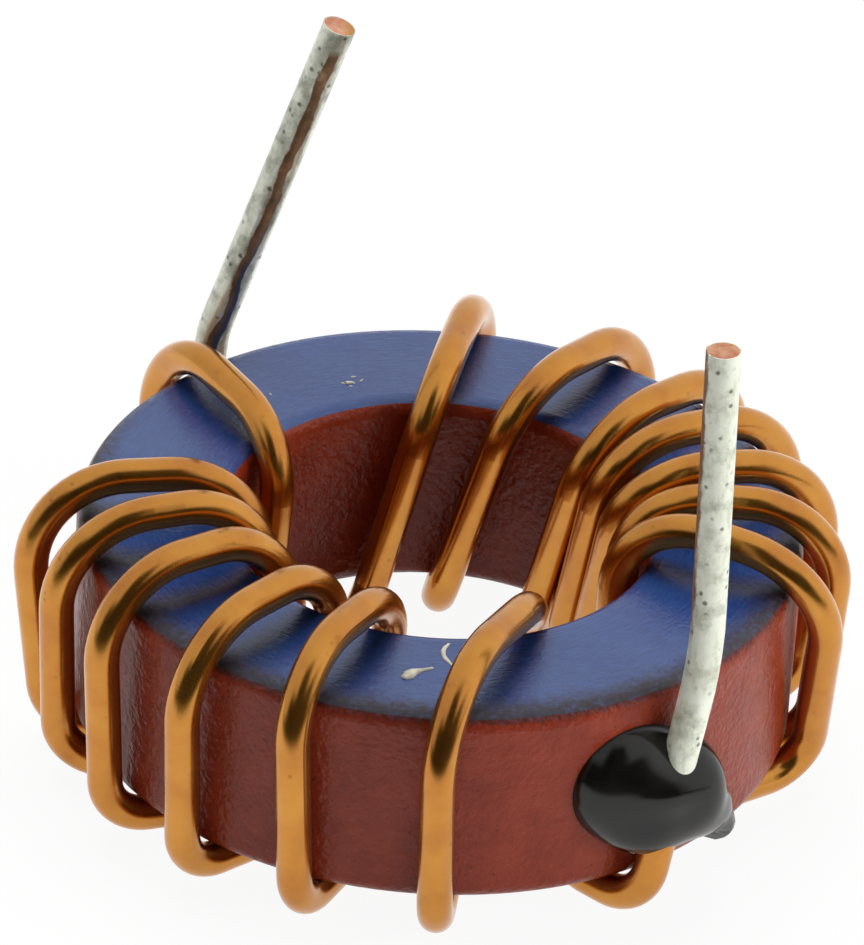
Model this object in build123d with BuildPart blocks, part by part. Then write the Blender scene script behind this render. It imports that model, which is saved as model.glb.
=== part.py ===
# Toroidal inductor: a painted powder-iron ring wound with one length of thick enamelled wire.
# Sizes are in millimetres. The origin is on the ring's axis, on the plane that the wire stands
# on, and +Z points up, the way the two leads rise. Angles are in degrees, seen from above,
# anticlockwise from +X. The leads stand at the back left and at the front right.

import os
from math import cos, radians, sin, tan

from build123d import *

# Ring core with its coating
core_outer_d = 26.9
core_hole_d = 15.7
core_height = 8.0
core_edge_r = 0.65
paint_t = 0.08

# Enamelled wire, and its stripped and tinned ends
wire_d = 1.3
bare_d = 1.18
tin_t = 0.04

# Air between the wire and the core where a turn is pulled tight
wire_gap = 0.1

# Bends of the wire, measured at its middle
bottom_bend_r = 1.7
outer_top_bend_r = 3.7
inner_top_bend_r = 3.1
crossing_bend_r = 5.0
hook_bend_r = 2.0
back_lead_bend_r = 4.0
front_lead_bend_r = 20.0

# Largest share of a straight run that the bend at either end may take up
bend_share = 0.45

# How far the turns stand off beyond the gap: outside at the bottom, and in the hole
foot_stand_off = 0.1
hole_stand_off = 0.3

# Each turn: the angles of its outer foot, outer top, inner top and inner foot, then, in wire
# thicknesses, how far its outer top stands off and how far the wire's outer and inner top rise
left_turns = [
    (140, 138.5, 153, 163.5, 0.57, 0.62, 0.22),
    (189, 185.5, 184, 191.5, 1.04, 0.30, 0.70),
    (199, 199.5, 200.5, 203, 0.48, 0.50, 0.84),
    (216.5, 215, 214, 225.5, 0.46, 0.62, 0.52),
    (233.5, 233, 238, 235.5, 0.51, 0.55, 0.62),
    (252.5, 250, 259, 248.5, 0.26, 0.86, 0.46),
    (273, 271.5, 310.5, 261.5, 0.47, 1.28, 0.04),
]
right_turns = [
    (86, 86, 94.5, 114, 1.00, 0.38, 0.40),
    (61, 61, 67, 90.5, 0.91, 0.02, 0.89),
    (44.5, 43.5, 36, 58.5, 0.87, 0.12, 0.81),
    (30, 28.5, 25, 45, 0.57, 0.35, 0.82),
    (14.5, 13.5, 4.5, 34, 0.47, 0.37, 1.03),
    (0, -1, -0.5, -1.5, 0.50, 0.64, 0.51),
    (-7.5, -15.5, -16, -13, 0.66, 0.23, 1.01),
]

# Below the hole the wire crosses from the left turns to the right turns, bowed along the left
crossing_depth = 8.2
crossing_angles = (286, 250, 214, 178)

# From the last turn the wire runs below the rim and hooks back to the front lead
hook_angle = 297.5
hook_depth = 3.6

# Leads: the angle of the foot and of the bend, the bend's height above the core's underside,
# the sideways lean from bend to tip, and the tip's height above the core's top
back_foot_angle = 133.5
back_bend_angle = 129
back_bend_height = 8.4
back_lean_x = 4.1
back_lean_y = -0.25
front_foot_angle = 305
front_bend_angle = 312.5
front_bend_height = 9.5
front_lean_x = -0.35
front_lean_y = 0.5
lead_above_core = 14.1
lead_stand_off = 0.3

# Share of the run from foot to bend where the tin begins
tin_start = 0.4

# Epoxy drop at the front lead. Each lobe: its angle, then, in wire thicknesses, its height
# above the core's underside, its half width along the wall and its half thickness
epoxy_lobes = [
    (309, 2.45, 2.15, 1.7),
    (315.5, 2.2, 1.45, 1.4),
    (321, 1.05, 0.9, 0.8),
]
epoxy_inset = 0.5

# Worked out from the sizes above
wire_r = wire_d / 2
core_r = core_outer_d / 2
hole_r = core_hole_d / 2
core_bottom = wire_d + wire_gap
core_top = core_bottom + core_height
seat = wire_r + wire_gap
foot_r = core_r + seat + foot_stand_off
inner_r = hole_r - seat - hole_stand_off


def at(radius, angle, height):
    """The point at this radius from the ring's axis, angle and height."""
    return Vector(radius * cos(radians(angle)), radius * sin(radians(angle)), height)


def turn_points(outer_foot, outer_top, inner_top, inner_foot, stand_off, rise_out, rise_in):
    """One turn's corners, from its inner foot up through the hole and down to its outer foot."""
    top = core_top + seat
    return [
        (at(inner_r, inner_foot, wire_r), bottom_bend_r),
        (at(inner_r, inner_top, top + rise_in * wire_d), inner_top_bend_r),
        (at(core_r + seat + stand_off * wire_d, outer_top, top + rise_out * wire_d), outer_top_bend_r),
        (at(foot_r, outer_foot, wire_r), bottom_bend_r),
    ]


def fitted_radii(corners):
    """Each inner corner's bend, no larger than the runs beside it leave room for."""
    radii = []
    for before, here, after in zip(corners, corners[1:], corners[2:]):
        run_in = here[0] - before[0]
        run_out = after[0] - here[0]
        half_turn = radians(run_in.get_angle(run_out)) / 2
        room = bend_share * min(run_in.length, run_out.length) / tan(half_turn)
        radii.append(min(here[1], room))
    return radii


def sweep_wire(corners, diameter, mode=Mode.ADD):
    """A round wire along straight runs joined by tangent arcs."""
    with BuildLine() as route:
        FilletPolyline(*[point for point, bend in corners], radius=fitted_radii(corners))
    with BuildSketch(Plane(origin=route.line @ 0, z_dir=route.line % 0)) as section:
        Circle(diameter / 2)
    sweep(section.sketch, path=route.line, mode=mode)


# Leads: each rises from its foot to a bend and on to its tip
tip_height = core_top + lead_above_core
back_foot = at(foot_r, back_foot_angle, wire_r)
back_bend = at(core_r + seat + lead_stand_off, back_bend_angle, core_bottom + back_bend_height)
back_tip = Vector(back_bend.X + back_lean_x, back_bend.Y + back_lean_y, tip_height)
back_strip = back_foot + (back_bend - back_foot) * tin_start
back_lead = [(back_strip, 0), (back_bend, back_lead_bend_r), (back_tip, 0)]

front_foot = at(foot_r, front_foot_angle, wire_r)
front_bend = at(core_r + seat + lead_stand_off, front_bend_angle, core_bottom + front_bend_height)
front_tip = Vector(front_bend.X + front_lean_x, front_bend.Y + front_lean_y, tip_height)
front_strip = front_foot + (front_bend - front_foot) * tin_start
front_lead = [(front_strip, 0), (front_bend, front_lead_bend_r), (front_tip, 0)]

# The enamelled wire's corners, from the back lead to the front lead
wire_route = [(back_strip, 0), (back_foot, bottom_bend_r)]
for turn in left_turns:
    wire_route += turn_points(*turn)
for angle in crossing_angles:
    wire_route.append((at(core_r - crossing_depth, angle, wire_r), crossing_bend_r))
for turn in right_turns:
    wire_route += turn_points(*turn)
wire_route += [
    (at(core_r - hook_depth, hook_angle, wire_r), hook_bend_r),
    (front_foot, bottom_bend_r),
    (front_strip, 0),
]

# The core's upper face is sunk by the paint's thickness between the middles of its edges
edge_step = core_edge_r * (1 - cos(radians(45)))
with BuildPart() as ring_form:
    with BuildSketch(Plane.XZ):
        with Locations(((core_r + hole_r) / 2, core_bottom + core_height / 2)):
            RectangleRounded(core_r - hole_r, core_height, core_edge_r)
    revolve(axis=Axis.Z)

with BuildPart() as face_paint:
    add(ring_form.part)
    with BuildSketch(Plane.XZ):
        with Locations(((core_r + hole_r) / 2, core_bottom + (core_height - paint_t) / 2)):
            RectangleRounded(core_r - hole_r - 2 * paint_t, core_height - paint_t, core_edge_r - paint_t)
        with Locations(((core_r + hole_r) / 2, core_top - edge_step)):
            Rectangle(core_r, core_height, align=(Align.CENTER, Align.MAX))
    revolve(axis=Axis.Z, mode=Mode.SUBTRACT)

with BuildPart() as core:
    add(ring_form.part)
    add(face_paint.part, mode=Mode.SUBTRACT)

# Winding, with the bare copper of the leads
with BuildPart() as winding:
    sweep_wire(wire_route, wire_d)
    sweep_wire(back_lead, bare_d)
    sweep_wire(front_lead, bare_d)

# Tin over the bare copper of each lead
with BuildPart() as tin_back:
    sweep_wire(back_lead, bare_d + 2 * tin_t)
    sweep_wire(back_lead, bare_d, Mode.SUBTRACT)

with BuildPart() as tin_front:
    sweep_wire(front_lead, bare_d + 2 * tin_t)
    sweep_wire(front_lead, bare_d, Mode.SUBTRACT)


def add_lobe(angle, height, half_width, half_thickness):
    """One rounded swelling of the drop, its middle just inside the core's outer wall."""
    centre = at(core_r - epoxy_inset, angle, core_bottom + height * wire_d)
    along = at(1, angle + 90, 0)
    with BuildSketch(Plane(origin=centre, x_dir=along, z_dir=(0, 0, 1))) as half:
        Ellipse(half_width * wire_d, half_thickness * wire_d)
        Rectangle(
            2 * half_width * wire_d,
            half_thickness * wire_d,
            align=(Align.CENTER, Align.MAX),
            mode=Mode.SUBTRACT,
        )
    revolve(half.sketch, axis=Axis(centre, along))


# Epoxy drop that tacks the front lead to the core's outer wall
with BuildPart() as epoxy_front:
    for lobe in epoxy_lobes:
        add_lobe(*lobe)
    for inner_piece in (ring_form, winding, tin_front):
        add(inner_piece.part, mode=Mode.SUBTRACT)

core.part.label = "core"
face_paint.part.label = "face_paint"
winding.part.label = "winding"
tin_back.part.label = "tin_back"
tin_front.part.label = "tin_front"
epoxy_front.part.label = "epoxy_front"

os.makedirs("parts", exist_ok=True)
for piece in (core, face_paint, winding, tin_back, tin_front, epoxy_front):
    export_step(piece.part, f"parts/{piece.part.label}.step")
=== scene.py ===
# Looks of the toroidal inductor: painted ring, enamelled wire, tinned leads and epoxy.
# Lengths are in metres unless a name ends in _MM, and angles are in degrees. +X is the
# photograph's right, and its camera looks from -Y and above.

from math import cos, exp, radians, sin

import bpy
from mathutils import Matrix, Vector


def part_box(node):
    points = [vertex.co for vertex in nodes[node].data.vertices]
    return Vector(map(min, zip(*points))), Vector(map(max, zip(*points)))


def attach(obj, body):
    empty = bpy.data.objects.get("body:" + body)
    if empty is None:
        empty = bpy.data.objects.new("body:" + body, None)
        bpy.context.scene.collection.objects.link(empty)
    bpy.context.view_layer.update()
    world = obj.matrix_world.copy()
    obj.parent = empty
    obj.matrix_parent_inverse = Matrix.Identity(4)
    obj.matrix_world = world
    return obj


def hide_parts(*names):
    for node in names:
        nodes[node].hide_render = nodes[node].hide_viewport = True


MM = 0.001

# Camera, from a fit of the ring's edges in the photograph. It is placed from the middle of the
# core's underside: aside and up in its own directions, and back by its distance.
IMAGE_LONG_SIDE = 945
FOCAL_PIXELS = 8451.3
SENSOR_MM = 36.0
CAMERA_ELEVATION = 32.32
CAMERA_ROLL = 3.96
CAMERA_DISTANCE_MM = 316.4
CAMERA_ASIDE_MM = 0.12
CAMERA_UP_MM = 8.28
CAMERA_CLIP = 0.01
CORE_BOTTOM_MM = 1.4

# White surroundings: their strength as fill light, and in reflections at the left and right
SKY_FILL = 0.15
SKY_LEFT = 0.76
SKY_RIGHT = 1.08

# Dark room behind the camera: a round screen at this distance, this far to either side and
# between these elevations
ROOM_AWAY = 0.7
ROOM_HALF_WIDTH = 70
ROOM_LOW = 0.2
ROOM_TOP = 74
ROOM_STEPS = 36
ROOM_GREY = 0.02
# It is dark in a wide low band and in a tall centre, and clear elsewhere. Each fade runs from
# clear to dark: heights as the sine of the elevation, sides as a share of the half width.
FOOT_FADE = (sin(radians(ROOM_LOW)), sin(radians(ROOM_LOW)) + 0.01)
WIDE_TOP_FADE = (sin(radians(36)), sin(radians(36)) - 0.14)
WIDE_SIDE_FADE = (1.0, 0.85)
TALL_TOP_FADE = (sin(radians(71)), sin(radians(60)))
TALL_SIDE_FADE = (0.6, 0.4)

# White paper: half its side, and how much of its white is light of its own, to the camera and
# in reflections. In reflections it is brighter by the lift, and in front of the part it fades
# to black.
PAPER_HALF = 1.5
PAPER_SEEN = 0.93
PAPER_MIRRORED = 0.75
PAPER_LIFT = 0.12
PAPER_FADE = (-0.030, -0.044)

# Lamps: name, azimuth from the front to the right, elevation, distance, size and watts
LAMPS = [
    ("overhead", 195, 66, 0.5, 0.40, 2.5),
    ("right", 72, 12, 0.5, 0.35, 1.9),
    ("front", 15, 15, 0.5, 0.40, 0.24),
]

# Epoxy drop: each lobe's middle, as radius, angle and height, and its half width, half height
# and half thickness. Where lobes meet, a larger blend keeps the crease sharper.
DROP_LOBES_MM = [
    ((13.01, 303.83, 5.69), (2.4, 2.45, 1.83)),
    ((13.49, 313.06, 4.95), (1.45, 1.92, 2.02)),
    ((14.1, 319.3, 2.95), (0.66, 0.75, 0.8)),
    ((13.9, 316.4, 3.9), (1.15, 1.05, 1.15)),
    ((13.66, 307.16, 4.22), (1.69, 1.45, 1.45)),
    ((13.9, 308.5, 5.7), (1.6, 1.0, 1.35)),
]
DROP_BLEND = 2.2
DROP_COLUMNS = 96
DROP_ROWS = 64
# The skin is searched inwards along each ray, from beyond the drop
DROP_BEYOND_MM = 6.0
DROP_STEP_MM = 0.1
DROP_HALVINGS = 12

# Dried glue on the painted face: strings of points, each x, y and half width
GLUE_STRINGS_MM = [
    [
        (-0.88, -10.99, 0.17),
        (-0.78, -10.86, 0.24),
        (-0.62, -10.66, 0.19),
        (-0.30, -10.46, 0.08),
        (0.03, -10.29, 0.06),
    ],
    [
        (0.58, -8.66, 0.05),
        (0.45, -8.90, 0.08),
        (0.39, -9.14, 0.09),
        (0.42, -9.42, 0.08),
        (0.51, -9.65, 0.09),
        (0.74, -10.01, 0.05),
    ],
    [(-6.75, 7.54, 0.05), (-6.71, 7.50, 0.04)],
    [(-4.08, 8.68, 0.04), (-4.02, 8.66, 0.05)],
    [(-3.86, 8.72, 0.10), (-3.70, 8.78, 0.06), (-3.62, 8.74, 0.04)],
    [(-3.72, 9.16, 0.05), (-3.58, 9.22, 0.03)],
    [(-3.37, 8.92, 0.06), (-3.30, 9.05, 0.03)],
    [(-3.77, 8.51, 0.04), (-3.70, 8.47, 0.03)],
]
GLUE_HEIGHT_MM = 9.4
GLUE_FLATTENING = 0.75
GLUE_COLUMNS = 12
# Where the rings of a string's rounded ends sit, as shares of the half width beyond the point
GLUE_END_SHARES = (1.0, 0.92, 0.7, 0.4)

# Paint sprayed onto the coating's outer side: from clear to full in height, how far its grain
# lowers that, and from clear to full outwards
SPRAY_HEIGHTS = (0.00918, 0.00936)
SPRAY_RAGGED = 0.0004
SPRAY_RADII = (0.0110, 0.0115)

# Where the blue paint wears off: towards the rim and towards the hole. At the rim the wear dies
# away towards the back; this fade is painted light, which keeps the back edge lighter where it
# catches a bright reflection.
RIM_WEAR = (0.0115, 0.0133)
HOLE_WEAR = (0.0083, 0.0079)
BACK_RIM_PAINTED_LIGHT = (0.001, 0.009)

# Leads: a point on each one's middle line, and the way across it that shows in the photograph
BACK_LEAD_POINT = Vector((-7.0057, 11.1394, 16.8822)) * MM
BACK_LEAD_SIDE = Vector((0.941, -0.180, -0.285))
FRONT_LEAD_POINT = Vector((9.5945, -10.4026, 18.1559)) * MM
FRONT_LEAD_SIDE = Vector((0.999, 0.017, 0.027))

# Bare copper shows at the cut ends, within these distances of the leads' top
CUT_FADE = (0.0003, 0.00015)

# Bare stripe down the back lead: its sides, from the middle line, their softness and waviness,
# how far below the top it begins, and where it turns to a painted blue-grey reflection of the
# blue paint, both in height and across
STRIPE_FROM = 0.00004
STRIPE_TO = 0.00044
STRIPE_SOFT = 0.00004
STRIPE_WAVE = 0.00013
STRIPE_BEGINS = (0.0009, 0.0012)
STRIPE_BLUE_REFLECTION_HEIGHTS = (0.0150, 0.0125)
STRIPE_BLUE_REFLECTION_ASIDE = (0.00016, 0.0003)

# Brown stain on the front lead's left edge: from clear to full sideways and in height
STAIN_ASIDE = (-0.00050, -0.00057)
STAIN_WAVE = 0.00006
STAIN_HEIGHTS = (0.0118, 0.0126)

# The span that nearly all of a noise lies in
NOISE_SPAN = (0.3, 0.7)

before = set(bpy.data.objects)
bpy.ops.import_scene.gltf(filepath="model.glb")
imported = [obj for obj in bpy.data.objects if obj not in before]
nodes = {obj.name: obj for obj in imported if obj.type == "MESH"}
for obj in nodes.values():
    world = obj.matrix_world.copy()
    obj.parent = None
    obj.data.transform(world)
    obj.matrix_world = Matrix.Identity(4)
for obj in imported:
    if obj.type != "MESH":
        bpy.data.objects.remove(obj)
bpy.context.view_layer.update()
scene = bpy.context.scene
lead_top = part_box("winding")[1].z


# Node helpers
class Nodes:
    """A node tree, with short calls for the nodes that the looks use."""

    def __init__(self, tree):
        self.nodes = tree.nodes
        self.links = tree.links

    def feed(self, plug, value):
        """Links an output to this input, or gives the input a plain value."""
        if isinstance(value, bpy.types.NodeSocket):
            self.links.new(value, plug)
        else:
            plug.default_value = value

    def node(self, kind, **values):
        """A new node, its inputs fed by name with an underscore for each space."""
        node = self.nodes.new("ShaderNode" + kind)
        for name, value in values.items():
            self.feed(node.inputs[name.replace("_", " ")], value)
        return node

    def math(self, kind, *values):
        node = self.nodes.new("ShaderNodeMath")
        node.operation = kind
        for plug, value in zip(node.inputs, values):
            self.feed(plug, value)
        return node.outputs[0]

    def times(self, first, second):
        return self.math("MULTIPLY", first, second)

    def plus(self, first, second):
        return self.math("ADD", first, second)

    def between(self, value, low, high, start=0.0, end=1.0):
        """The value mapped from low..high to start..end and kept inside that."""
        node = self.node(
            "MapRange", Value=value, From_Min=low, From_Max=high, To_Min=start, To_Max=end
        )
        return node.outputs["Result"]

    def axes(self, place):
        """The three coordinates of this place."""
        return tuple(self.node("SeparateXYZ", Vector=place).outputs)


class Shader(Nodes):
    """A new material. Its place is in metres in the part's frame, and scales count per metre."""

    def __init__(self, name):
        self.material = bpy.data.materials.new(name)
        self.material.use_nodes = True
        super().__init__(self.material.node_tree)
        self.surface = self.nodes["Principled BSDF"]
        self.place = self.node("TexCoord").outputs["Object"]
        self.x, self.y, self.z = self.axes(self.place)

    def made(self, **values):
        """The material, once the inputs of its surface are fed by name."""
        for name, value in values.items():
            self.feed(self.surface.inputs[name.replace("_", " ")], value)
        return self.material

    def blend(self, share, first, second):
        """The material, once it shows a blend of two shaders, the second by this share."""
        mixed = self.node("MixShader", Fac=share)
        self.feed(mixed.inputs[1], first.outputs[0])
        self.feed(mixed.inputs[2], second.outputs[0])
        self.feed(self.nodes["Material Output"].inputs["Surface"], mixed.outputs[0])
        return self.material

    def noise(self, scale, detail=3, roughness=0.55, place=None):
        place = place or self.place
        node = self.node("TexNoise", Scale=scale, Detail=detail, Roughness=roughness, Vector=place)
        return node.outputs["Fac"]

    def cells(self, scale):
        """Distance from the middles of scattered cells."""
        return self.node("TexVoronoi", Scale=scale, Vector=self.place).outputs["Distance"]

    def spread(self, noise, start, end):
        """A noise spread over start..end."""
        return self.between(noise, *NOISE_SPAN, start, end)

    def pits(self, scale, span, patch_scale, patch_span):
        """1 in scattered round pits, only in some patches. Each span runs from clear to full."""
        pit = self.between(self.cells(scale), *span)
        return self.times(pit, self.between(self.noise(patch_scale, 2), *patch_span))

    def ramp(self, value, *stops):
        """A colour from the stops, each a position and a colour."""
        node = self.node("ValToRGB", Fac=value)
        elements = node.color_ramp.elements
        while len(elements) < len(stops):
            elements.new(1.0)
        for element, (position, colour) in zip(elements, stops):
            element.position = position
            element.color = (*colour, 1.0)
        return node.outputs["Color"]

    def mix(self, share, first, second):
        """A blend of two colours, the second by this share."""
        node = self.nodes.new("ShaderNodeMix")
        node.data_type = "RGBA"
        for name, value in (("Factor", share), ("A", first), ("B", second)):
            plug = next(plug for plug in node.inputs if plug.name == name and plug.enabled)
            self.feed(plug, (*value, 1.0) if isinstance(value, tuple) else value)
        return next(output for output in node.outputs if output.enabled)

    def radius(self):
        """Distance from the ring's axis."""
        return self.math("SQRT", self.plus(self.times(self.x, self.x), self.times(self.y, self.y)))

    def angle(self):
        """Angle round the ring's axis, in radians."""
        return self.math("ARCTAN2", self.y, self.x)

    def spot(self, x, y, z):
        """A place from its three coordinates."""
        return self.node("CombineXYZ", X=x, Y=y, Z=z).outputs[0]

    def lead_grain(self, across, along, roughness):
        """Noise drawn out along the leads."""
        x, y = self.times(self.x, across), self.times(self.y, across)
        return self.noise(1, 4, roughness, self.spot(x, y, self.times(self.z, along)))

    def below_tip(self, span):
        """0 to 1 over a span of distances below the leads' highest point."""
        start, end = span
        return self.between(self.z, lead_top - start, lead_top - end)

    def aside(self, side, point):
        """Distance sideways from the line through this point."""
        node = self.nodes.new("ShaderNodeVectorMath")
        node.operation = "DOT_PRODUCT"
        self.feed(node.inputs[0], self.place)
        self.feed(node.inputs[1], side)
        return self.math("SUBTRACT", node.outputs["Value"], side.dot(point))

    def bump(self, height, depth, strength, under=None):
        node = self.node("Bump", Strength=strength, Distance=depth, Height=height)
        if under:
            self.feed(node.inputs["Normal"], under)
        return node.outputs["Normal"]


def srgb(*colour):
    """A colour written as it shows on a screen, 0 to 255, as linear light."""
    shares = [level / 255 for level in colour]
    return tuple(c / 12.92 if c <= 0.04045 else ((c + 0.055) / 1.055) ** 2.4 for c in shares)


def wear(node, material):
    """Gives a CAD node this material alone."""
    nodes[node].data.materials.clear()
    nodes[node].data.materials.append(material)


def edge_dust(s):
    """Speckled brown and blue-grey, where the blue paint is thin."""
    return s.ramp(
        s.noise(5200, 2),
        (0.35, srgb(40, 27, 22)),
        (0.50, srgb(43, 37, 40)),
        (0.62, srgb(50, 50, 64)),
        (0.75, srgb(60, 66, 88)),
    )


def red_coating():
    """Brick red epoxy with fine orange peel and dark pits; paint is sprayed on its upper edge."""
    s = Shader("red_coating")
    colour = s.ramp(
        s.noise(650, 5, 0.6),
        (0.30, srgb(124, 42, 22)),
        (0.50, srgb(136, 48, 26)),
        (0.72, srgb(146, 56, 32)),
    )
    colour = s.mix(s.between(s.cells(1500), 0.05, 0.11), srgb(90, 32, 20), colour)
    height = s.plus(s.z, s.times(s.noise(4800, 3, 0.7), SPRAY_RAGGED))
    spray = s.between(height, *SPRAY_HEIGHTS, end=0.7)
    spray = s.times(spray, s.between(s.radius(), *SPRAY_RADII))
    swell = s.bump(s.noise(1500, 2), depth=0.00007, strength=0.4)
    return s.made(
        Base_Color=s.mix(spray, colour, edge_dust(s)),
        Roughness=s.spread(s.noise(2400), 0.26, 0.38),
        Normal=s.bump(s.noise(3600, 2), depth=0.00008, strength=0.75, under=swell),
        Specular_IOR_Level=0.3,
    )


def blue_paint():
    """Brushed blue paint, worn to a speckled grey-brown along the ring's edges, with painted light
    at the back of the rim.
    """
    s = Shader("blue_paint")
    radius = s.radius()
    strokes = s.noise(1, 4, 0.6, s.spot(s.times(radius, 9000), s.times(s.angle(), 14), 0))
    colour = s.ramp(
        strokes,
        (0.25, srgb(22, 48, 107)),
        (0.50, srgb(30, 60, 121)),
        (0.75, srgb(42, 75, 136)),
    )
    patches = s.between(s.noise(420), 0.35, 0.75, end=0.35)
    colour = s.mix(patches, colour, srgb(56, 84, 130))
    grain = s.noise(4000, 3, 0.7)
    # The wear grows towards the rim and the hole, and the grain breaks it up
    rim = s.between(radius, *RIM_WEAR, start=-0.35, end=0.9)
    # Painted light: the rim's wear fades towards the back, so the back edge stays lighter
    rim = s.math("SUBTRACT", rim, s.between(s.y, *BACK_RIM_PAINTED_LIGHT, end=0.55))
    hole = s.between(radius, *HOLE_WEAR, start=-0.35, end=0.3)
    edge = s.math("MAXIMUM", rim, hole)
    worn = s.between(s.plus(edge, s.times(grain, 1.1)), 0.6, 1.25, end=0.95)
    streaks = s.bump(strokes, depth=0.00004, strength=0.4)
    return s.made(
        Base_Color=s.mix(worn, colour, edge_dust(s)),
        Roughness=s.between(worn, 0, 1, 0.24, 0.6),
        Normal=s.bump(grain, depth=0.00004, strength=0.4, under=streaks),
        Specular_IOR_Level=0.8,
    )


def enamelled_wire():
    """Amber enamel over copper; the leads' cut ends show bare copper."""
    s = Shader("enamelled_wire")
    colour = s.ramp(
        s.noise(520, 4),
        (0.28, srgb(184, 115, 42)),
        (0.50, srgb(198, 132, 48)),
        (0.75, srgb(206, 144, 56)),
    )
    speck = s.pits(1600, (0.18, 0.04), 330, (0.5, 0.62))
    colour = s.mix(s.times(speck, 0.45), colour, srgb(104, 62, 26))
    cut = s.below_tip(CUT_FADE)
    copper = s.ramp(s.noise(1600), (0.35, srgb(196, 126, 92)), (0.6, srgb(232, 178, 148)))
    return s.made(
        Base_Color=s.mix(cut, colour, copper),
        Metallic=0.92,
        Roughness=s.spread(s.noise(900), 0.2, 0.27),
        Normal=s.bump(s.noise(1500), depth=0.00001, strength=0.4),
        Coat_Weight=s.between(cut, 0, 1, 0.45, 0),
        Coat_Roughness=0.15,
    )


def bright_tin():
    """Pale tin with grey pits; a stripe of bare brown copper runs down its right side, with a
    painted blue-grey reflection low on it.
    """
    s = Shader("bright_tin")
    grain = s.lead_grain(1500, 700, 0.6)
    colour = s.ramp(
        grain,
        (0.3, srgb(168, 171, 154)),
        (0.5, srgb(214, 218, 200)),
        (0.7, srgb(238, 241, 228)),
    )
    blotch = s.between(s.noise(1000, 4, 0.65), 0.48, 0.66, end=0.75)
    colour = s.mix(blotch, colour, srgb(132, 134, 118))
    pit = s.pits(2400, (0.30, 0.14), 800, (0.45, 0.55))
    colour = s.mix(s.times(pit, 0.8), colour, srgb(84, 84, 74))
    wave = s.spread(s.noise(420), -STRIPE_WAVE, STRIPE_WAVE)
    aside = s.plus(s.aside(BACK_LEAD_SIDE, BACK_LEAD_POINT), wave)
    stripe = s.times(
        s.between(aside, STRIPE_FROM, STRIPE_FROM + STRIPE_SOFT),
        s.between(aside, STRIPE_TO, STRIPE_TO - STRIPE_SOFT),
    )
    stripe = s.times(stripe, s.below_tip(STRIPE_BEGINS))
    brown = s.ramp(
        s.noise(1500, 4),
        (0.35, srgb(104, 82, 58)),
        (0.6, srgb(134, 104, 76)),
        (0.8, srgb(196, 172, 136)),
    )
    # Painted reflection of the blue paint: low down, the outer part of the stripe turns blue-grey
    grey = s.times(s.between(s.z, *STRIPE_BLUE_REFLECTION_HEIGHTS), s.between(aside, *STRIPE_BLUE_REFLECTION_ASIDE))
    brown = s.mix(grey, brown, srgb(66, 76, 98))
    return s.made(
        Base_Color=s.mix(stripe, colour, brown),
        Metallic=0.45,
        Roughness=s.between(stripe, 0, 1, 0.28, 0.4),
        Normal=s.bump(s.math("SUBTRACT", grain, pit), depth=0.00005, strength=0.5),
    )


def frosted_tin():
    """Greenish-white frosted tin with dark pits; its left edge is brown."""
    s = Shader("frosted_tin")
    grain = s.lead_grain(2200, 900, 0.65)
    colour = s.ramp(
        grain,
        (0.32, srgb(212, 216, 196)),
        (0.48, srgb(239, 243, 224)),
        (0.70, srgb(246, 249, 235)),
    )
    blotch = s.between(s.noise(1100, 4, 0.65), 0.5, 0.68, end=0.7)
    colour = s.mix(blotch, colour, srgb(172, 176, 152))
    pit = s.pits(2600, (0.30, 0.14), 900, (0.46, 0.56))
    colour = s.mix(s.times(pit, 0.85), colour, srgb(96, 92, 76))
    wave = s.spread(grain, -STAIN_WAVE, STAIN_WAVE)
    aside = s.plus(s.aside(FRONT_LEAD_SIDE, FRONT_LEAD_POINT), wave)
    stain = s.times(s.between(aside, *STAIN_ASIDE), s.between(s.z, *STAIN_HEIGHTS))
    return s.made(
        Base_Color=s.mix(stain, colour, srgb(134, 98, 70)),
        Metallic=0.08,
        Roughness=s.spread(grain, 0.4, 0.55),
        Normal=s.bump(s.math("SUBTRACT", grain, pit), depth=0.00005, strength=0.6),
        Specular_IOR_Level=0.6,
    )


def black_epoxy():
    """Glossy black epoxy."""
    s = Shader("black_epoxy")
    return s.made(
        Base_Color=s.ramp(s.noise(900, 2), (0.3, srgb(14, 13, 12)), (0.7, srgb(24, 22, 20))),
        Roughness=s.spread(s.noise(500, 2), 0.14, 0.2),
        Normal=s.bump(s.noise(600, 2), depth=0.0001, strength=0.3),
        Specular_IOR_Level=0.42,
    )


def dried_glue():
    """Off-white crumbs of dried glue."""
    s = Shader("dried_glue")
    return s.made(
        Base_Color=s.ramp(s.noise(2500), (0.35, srgb(176, 172, 150)), (0.65, srgb(222, 218, 200))),
        Roughness=s.spread(s.noise(1500, 2), 0.3, 0.5),
        Normal=s.bump(s.noise(4000, 2), depth=0.00003, strength=0.4),
    )


def add_object(name, corners, faces, material):
    """A mesh in the part's frame."""
    mesh = bpy.data.meshes.new(name)
    mesh.from_pydata(corners, [], faces)
    mesh.materials.append(material)
    added = bpy.data.objects.new(name, mesh)
    scene.collection.objects.link(added)
    return added


def add_piece(name, corners, faces, material):
    """A smooth mesh that rides with the part."""
    piece = add_object(name, corners, faces, material)
    for face in piece.data.polygons:
        face.use_smooth = True
    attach(piece, "root")
    return piece


def drop_lobe(place, sizes):
    """A lobe's middle and its three directions, each divided by the half size along it."""
    radius, angle, height = place
    a = radians(angle)
    middle = Vector((radius * cos(a), radius * sin(a), height))
    ways = (Vector((-sin(a), cos(a), 0)), Vector((0, 0, 1)), Vector((cos(a), sin(a), 0)))
    return middle, [way / size for way, size in zip(ways, sizes)]


def drop_field(lobes, point):
    """Above 1 inside the drop."""
    total = 0.0
    for middle, ways in lobes:
        total += exp(DROP_BLEND * (1 - sum(way.dot(point - middle) ** 2 for way in ways)))
    return total


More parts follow.
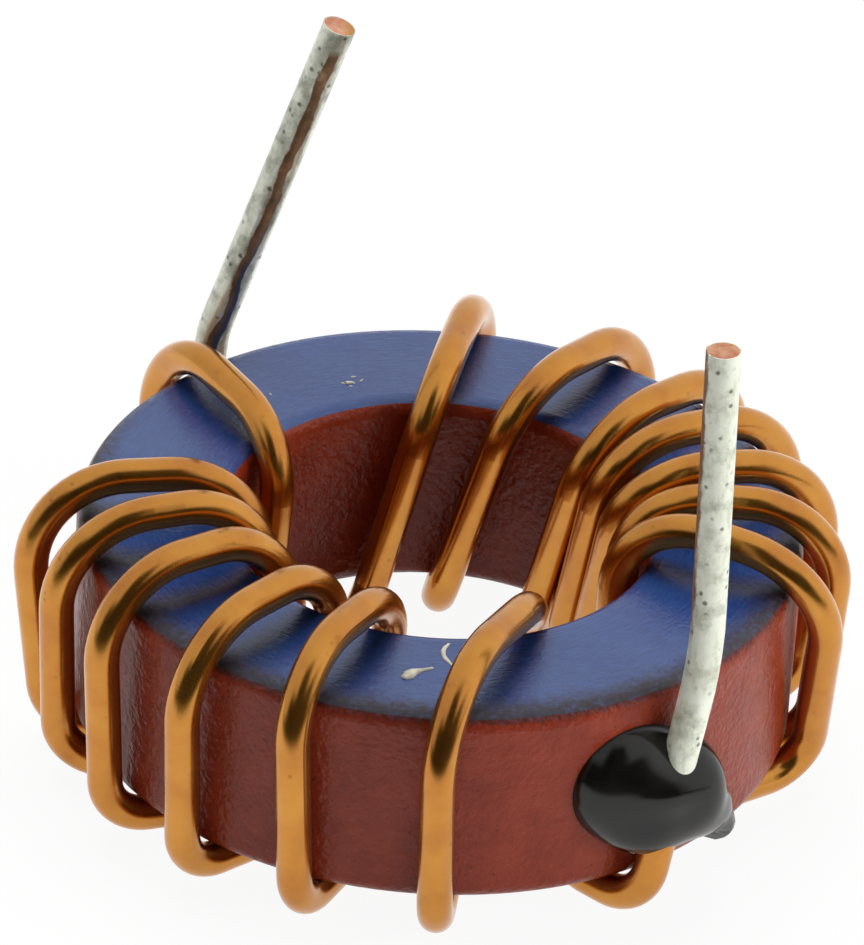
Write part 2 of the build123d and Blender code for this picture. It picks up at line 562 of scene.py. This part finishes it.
def drop_skin(lobes, heart, ray):
    """The drop's outermost point along this ray from its heart."""
    reach = DROP_BEYOND_MM
    while reach > 0 and drop_field(lobes, heart + ray * reach) < 1:
        reach -= DROP_STEP_MM
    near, far = reach, reach + DROP_STEP_MM
    for halving in range(DROP_HALVINGS):
        reach = (near + far) / 2
        if drop_field(lobes, heart + ray * reach) < 1:
            far = reach
        else:
            near = reach
    return heart + ray * near


def epoxy_drop():
    """The drop as one smooth skin round the first lobe's middle."""
    lobes = [drop_lobe(*lobe) for lobe in DROP_LOBES_MM]
    heart, ways = lobes[0]
    along, up, out = (way.normalized() for way in ways)
    corners, faces = [], []
    for row in range(DROP_ROWS + 1):
        tilt = radians(180 * row / DROP_ROWS)
        for column in range(DROP_COLUMNS):
            turn = radians(360 * column / DROP_COLUMNS)
            ray = cos(tilt) * up + sin(tilt) * (cos(turn) * along + sin(turn) * out)
            corners.append(drop_skin(lobes, heart, ray) * MM)
    for row in range(DROP_ROWS):
        for column in range(DROP_COLUMNS):
            here = row * DROP_COLUMNS + column
            beside = row * DROP_COLUMNS + (column + 1) % DROP_COLUMNS
            faces.append((here, here + DROP_COLUMNS, beside + DROP_COLUMNS, beside))
    drop = add_piece("epoxy_drop", corners, faces, black_epoxy())
    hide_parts("epoxy_front")


def glue_rings(string):
    """A string's rings in order, each a middle and a half width, with rounded ends."""
    middles = [Vector((x, y, 0)) for x, y, half in string]
    halves = [half for x, y, half in string]
    start = (middles[0] - middles[1]).normalized() * halves[0]
    stop = (middles[-1] - middles[-2]).normalized() * halves[-1]
    rings = []
    for share in GLUE_END_SHARES:
        rings.append((middles[0] + start * share, halves[0] * (1 - share**2) ** 0.5))
    rings += list(zip(middles, halves))
    for share in reversed(GLUE_END_SHARES):
        rings.append((middles[-1] + stop * share, halves[-1] * (1 - share**2) ** 0.5))
    return rings


def glue_crumbs():
    """Dried glue on the painted face: low tapered strings, each a row of rings."""
    corners, faces = [], []
    for string in GLUE_STRINGS_MM:
        rings = glue_rings(string)
        first = len(corners)
        for number, (middle, half) in enumerate(rings):
            before = rings[max(number - 1, 0)][0]
            after = rings[min(number + 1, len(rings) - 1)][0]
            run = (after - before).normalized()
            side = Vector((-run.y, run.x, 0))
            for column in range(GLUE_COLUMNS):
                turn = radians(360 * column / GLUE_COLUMNS)
                point = middle + side * half * cos(turn)
                height = GLUE_HEIGHT_MM + GLUE_FLATTENING * half * sin(turn)
                corners.append(Vector((point.x, point.y, height)) * MM)
        for number in range(len(rings) - 1):
            for column in range(GLUE_COLUMNS):
                here = first + number * GLUE_COLUMNS + column
                beside = first + number * GLUE_COLUMNS + (column + 1) % GLUE_COLUMNS
                faces.append((here, beside, beside + GLUE_COLUMNS, here + GLUE_COLUMNS))
    add_piece("glue_crumbs", corners, faces, dried_glue())


def white_paper():
    """White paper: plain to the camera, and fading to the dark room in reflections."""
    s = Shader("floor")
    path = s.node("LightPath")
    mirrored = path.outputs["Is Glossy Ray"]
    bright = s.math("SUBTRACT", 1, s.times(mirrored, s.between(s.y, *PAPER_FADE)))
    strength = s.times(bright, s.plus(1, s.times(mirrored, PAPER_LIFT)))
    glow = s.node("Emission", Strength=strength)
    share = s.math(
        "MAXIMUM",
        s.times(path.outputs["Is Camera Ray"], PAPER_SEEN),
        s.times(mirrored, PAPER_MIRRORED),
    )
    s.made(Base_Color=bright, Roughness=0.9, Specular_IOR_Level=0)
    return s.blend(share, s.surface, glow)


def stage_floor():
    half = PAPER_HALF
    corners = [(-half, -half, 0), (half, -half, 0), (half, half, 0), (-half, half, 0)]
    floor = add_object("floor", corners, [(0, 1, 2, 3)], white_paper())


def sky():
    """White surroundings: plain to the camera, graded in reflections, and weak as fill light."""
    world = bpy.data.worlds.new("studio")
    scene.world = world
    world.use_nodes = True
    s = Nodes(world.node_tree)
    path = s.node("LightPath")
    aside = s.axes(s.node("TexCoord").outputs["Generated"])[0]
    graded = s.times(path.outputs["Is Glossy Ray"], s.between(aside, -1, 1, SKY_LEFT, SKY_RIGHT))
    level = s.math("MAXIMUM", path.outputs["Is Camera Ray"], SKY_FILL)
    level = s.math("MAXIMUM", path.outputs["Is Transmission Ray"], level)
    level = s.math("MAXIMUM", graded, level)
    background = s.nodes["Background"]
    s.feed(background.inputs["Strength"], level)
    s.feed(background.inputs["Color"], (1, 1, 1, 1))


def room_shade():
    """Nearly black in the wide band and the tall centre, and clear elsewhere."""
    s = Shader("dark_room")
    rise = s.math("DIVIDE", s.z, ROOM_AWAY)
    edge = s.times(s.radius(), sin(radians(ROOM_HALF_WIDTH)))
    aside = s.math("ABSOLUTE", s.math("DIVIDE", s.x, edge))
    wide = s.times(s.between(rise, *WIDE_TOP_FADE), s.between(aside, *WIDE_SIDE_FADE))
    tall = s.times(s.between(rise, *TALL_TOP_FADE), s.between(aside, *TALL_SIDE_FADE))
    dark = s.times(s.math("MAXIMUM", wide, tall), s.between(rise, *FOOT_FADE))
    s.made(Base_Color=(ROOM_GREY, ROOM_GREY, ROOM_GREY, 1), Roughness=1)
    return s.blend(dark, s.node("BsdfTransparent"), s.surface)


def dark_room():
    """The unlit room behind the camera: a screen that only reflections and shade show."""
    corners, faces = [], []
    for row in range(ROOM_STEPS + 1):
        tilt = radians(ROOM_LOW + (ROOM_TOP - ROOM_LOW) * row / ROOM_STEPS)
        for column in range(ROOM_STEPS + 1):
            turn = radians(-90 + ROOM_HALF_WIDTH * (2 * column / ROOM_STEPS - 1))
            way = Vector((cos(tilt) * cos(turn), cos(tilt) * sin(turn), sin(tilt)))
            corners.append(way * ROOM_AWAY)
    for row in range(ROOM_STEPS):
        for column in range(ROOM_STEPS):
            here = row * (ROOM_STEPS + 1) + column
            above = here + ROOM_STEPS + 1
            faces.append((here, here + 1, above + 1, above))
    screen = add_object("dark_room", corners, faces, room_shade())
    screen.visible_camera = False


def soft_lamp(name, azimuth, elevation, distance, size, watts):
    """A square lamp that looks at the part and doesn't show in reflections."""
    data = bpy.data.lights.new(name, "AREA")
    data.shape = "SQUARE"
    data.size = size
    data.energy = watts
    lamp = bpy.data.objects.new(name, data)
    a, e = radians(azimuth), radians(elevation)
    way = Vector((sin(a) * cos(e), -cos(a) * cos(e), sin(e)))
    lamp.location = way * distance
    lamp.rotation_mode = "QUATERNION"
    lamp.rotation_quaternion = (-way).to_track_quat("-Z", "Y")
    lamp.visible_glossy = False
    scene.collection.objects.link(lamp)


def photo_camera():
    """The photograph's camera: it looks down at its elevation, rolled about its view."""
    e, roll = radians(CAMERA_ELEVATION), radians(CAMERA_ROLL)
    back = Vector((0, -cos(e), sin(e)))
    right = Vector((1, 0, 0))
    up = back.cross(right)
    aside = cos(roll) * right + sin(roll) * up
    above = cos(roll) * up - sin(roll) * right
    data = bpy.data.cameras.new("camera")
    data.sensor_width = SENSOR_MM
    data.lens = FOCAL_PIXELS * SENSOR_MM / IMAGE_LONG_SIDE
    data.clip_start = CAMERA_CLIP
    camera = bpy.data.objects.new("camera", data)
    scene.collection.objects.link(camera)
    place = (CAMERA_ASIDE_MM * aside + CAMERA_UP_MM * above + CAMERA_DISTANCE_MM * back) * MM
    place.z += CORE_BOTTOM_MM * MM
    turn = Matrix((aside, above, back)).transposed().to_4x4()
    camera.matrix_world = Matrix.Translation(place) @ turn
    scene.camera = camera


wear("core", red_coating())
wear("face_paint", blue_paint())
wear("winding", enamelled_wire())
wear("tin_back", bright_tin())
wear("tin_front", frosted_tin())
epoxy_drop()
glue_crumbs()

stage_floor()
sky()
dark_room()
for lamp in LAMPS:
    soft_lamp(*lamp)
photo_camera()

scene.view_settings.view_transform = "Standard"
